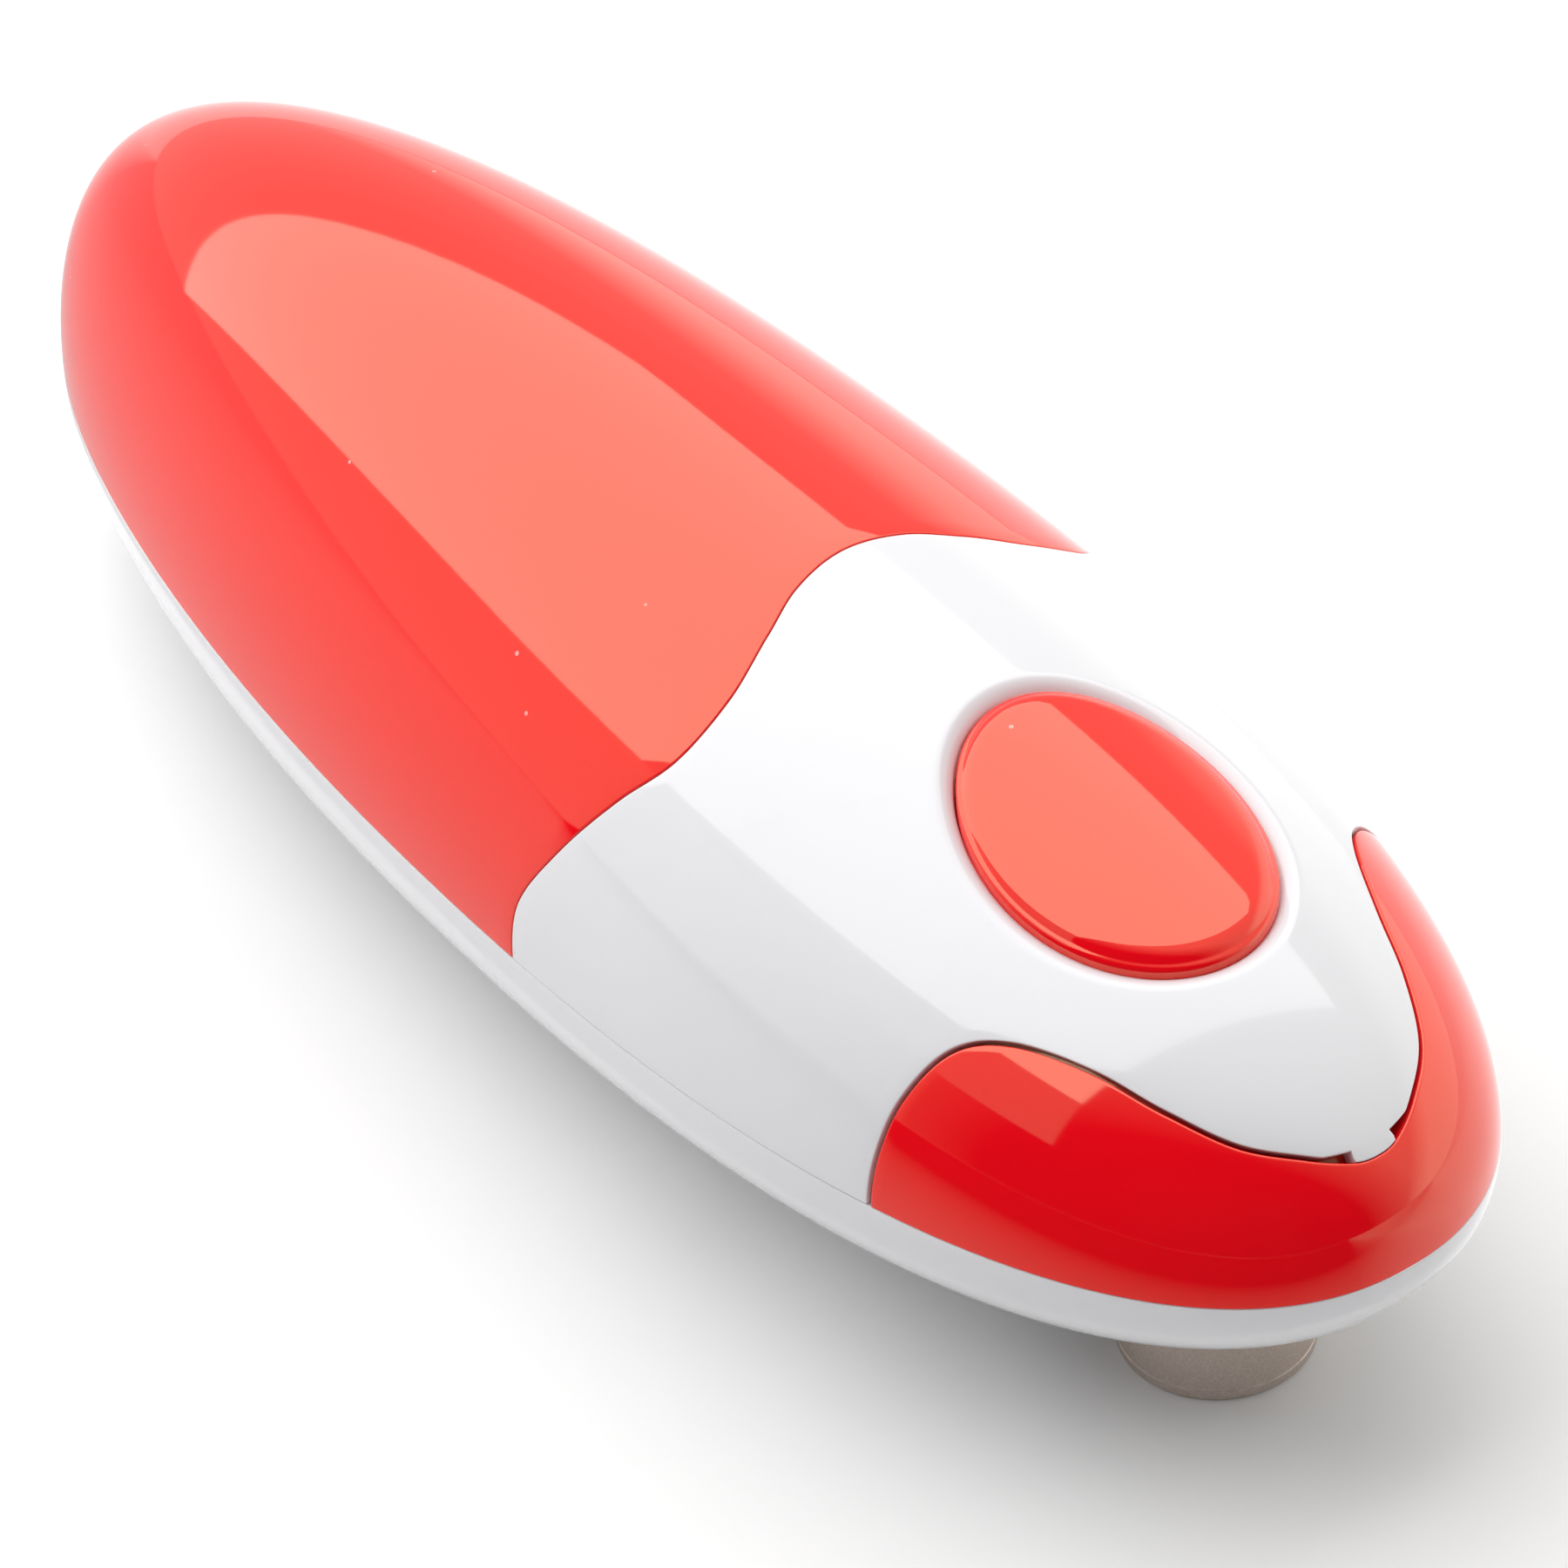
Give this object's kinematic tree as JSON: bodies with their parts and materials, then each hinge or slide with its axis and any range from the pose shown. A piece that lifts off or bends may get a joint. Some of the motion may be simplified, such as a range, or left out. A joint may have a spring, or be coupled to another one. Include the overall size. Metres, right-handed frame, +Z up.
{
  "type": "automatic can opener",
  "caption": "Battery-powered one-touch can opener: oval casing, push button, geared drive wheel and an eccentric steel cutter barrel that swings shut on the rim.",
  "frame": {"origin": "middle of the overall box, on the surface the opener stands on", "axes": "+X towards the nose with the cutter, +Z up, +Y to the left; the steel barrel, drive shaft and gear axles are vertical"},
  "size_m": [0.1998, 0.0674, 0.0606],
  "materials": {
    "white_abs": "glossy moulded ABS, white",
    "red_abs": "high-gloss moulded ABS, signal red",
    "spring_steel": "bright spring wire",
    "nylon": "natural moulded nylon",
    "circuit_board": "green solder mask",
    "zinc_steel": "zinc-plated steel",
    "black_plastic": "matt black moulding",
    "brass": "plain brass",
    "cell_wrap": "plain shrink wrap on a steel can",
    "wire_cover": "red PVC",
    "motor_steel": "plated steel",
    "cutter_steel": "ground hardened steel",
    "blasted_steel": "bead-blasted steel, warm grey",
    "magnet": "nickel-plated magnet"
  },
  "bodies": {
    "casing": {"lower_shell": "white_abs", "mid_cover": "white_abs", "nose_trim": "red_abs", "button_spring": "spring_steel", "button_guide": "nylon", "control_board": "circuit_board", "board_screws": "zinc_steel", "switch_body": "black_plastic", "battery_tray": "black_plastic", "battery_cells": "cell_wrap", "battery_springs": "spring_steel", "contact_plates": "brass", "lead_wires": "wire_cover", "shell_screws": "zinc_steel", "gearbox_base": "nylon", "gearbox_top": "nylon", "gearbox_screws": "zinc_steel", "motor_can": "motor_steel", "motor_screws": "zinc_steel", "gear_axles": "zinc_steel", "shaft_bush": "brass", "cutter_plate": "motor_steel", "cutter_plate_screws": "zinc_steel", "lid_magnet": "magnet"},
    "rear_cover": {"rear_cover": "red_abs"},
    "button": {"button": "red_abs"},
    "switch": {"switch_plunger": "brass"},
    "rotor": {"motor_shaft": "zinc_steel", "motor_pinion": "brass"},
    "gear_1": {"gear_1": "nylon"},
    "gear_2": {"gear_2": "nylon"},
    "gear_3": {"gear_3": "nylon"},
    "drive": {"drive_shaft": "zinc_steel", "drive_gear": "nylon", "drive_wheel": "cutter_steel", "clutch_washer": "spring_steel"},
    "clutch": {"clutch_gear": "brass"},
    "cutter": {"cutter_barrel": "blasted_steel", "swing_gear": "zinc_steel", "cutter_stud": "zinc_steel"},
    "cutter_wheel": {"cutter_wheel": "cutter_steel"}
  },
  "joints": [
    {"name": "cover_slide", "type": "slide", "parent": "casing", "child": "rear_cover", "axis": [-1, 0, 0], "range_m": [0, 0.13]},
    {"name": "button_press", "type": "slide", "parent": "casing", "child": "button", "axis": [0, 0, -1], "range_m": [0, 0.0015], "stiffness_N_per_m": 900, "springref_m": -0.0012, "deforming": ["button_spring"]},
    {"name": "switch_press", "type": "slide", "parent": "casing", "child": "switch", "axis": [0, 0, -1], "range_m": [0, 0.0015]},
    {"name": "drive_spin", "type": "hinge", "parent": "casing", "child": "drive", "pos_m": [0.0535, 0, 0], "axis": [0, 0, 1], "continuous": true},
    {"name": "gear_3_spin", "type": "hinge", "parent": "casing", "child": "gear_3", "pos_m": [0.04152, -0.01178, 0], "axis": [0, 0, 1], "continuous": true},
    {"name": "gear_2_spin", "type": "hinge", "parent": "casing", "child": "gear_2", "pos_m": [0.03312, 0.00277, 0], "axis": [0, 0, 1], "continuous": true},
    {"name": "gear_1_spin", "type": "hinge", "parent": "casing", "child": "gear_1", "pos_m": [0.02397, -0.01132, 0], "axis": [0, 0, 1], "continuous": true},
    {"name": "motor_spin", "type": "hinge", "parent": "casing", "child": "rotor", "pos_m": [0.01305, 0.00052, 0], "axis": [0, 0, 1], "continuous": true},
    {"name": "cutter_swing", "type": "hinge", "parent": "casing", "child": "cutter", "pos_m": [0.0714, -0.0017, 0], "axis": [0, 0, 1], "range_deg": [0, 90]},
    {"name": "clutch_turn", "type": "hinge", "parent": "casing", "child": "clutch", "pos_m": [0.0535, 0, 0], "axis": [0, 0, 1], "range_deg": [-112.5, 0]},
    {"name": "cutter_spin", "type": "hinge", "parent": "cutter", "child": "cutter_wheel", "pos_m": [0.0731, 0.0034, 0], "axis": [0, 0, 1], "continuous": true}
  ],
  "couplings": [
    {"joint": "switch_press", "follows": "button_press", "ratio": 1},
    {"joint": "gear_1_spin", "follows": "motor_spin", "ratio": -0.27778},
    {"joint": "gear_2_spin", "follows": "motor_spin", "ratio": 0.092593},
    {"joint": "gear_3_spin", "follows": "motor_spin", "ratio": -0.030864},
    {"joint": "drive_spin", "follows": "motor_spin", "ratio": 0.010288},
    {"joint": "clutch_turn", "follows": "cutter_swing", "ratio": -1.25}
  ]
}
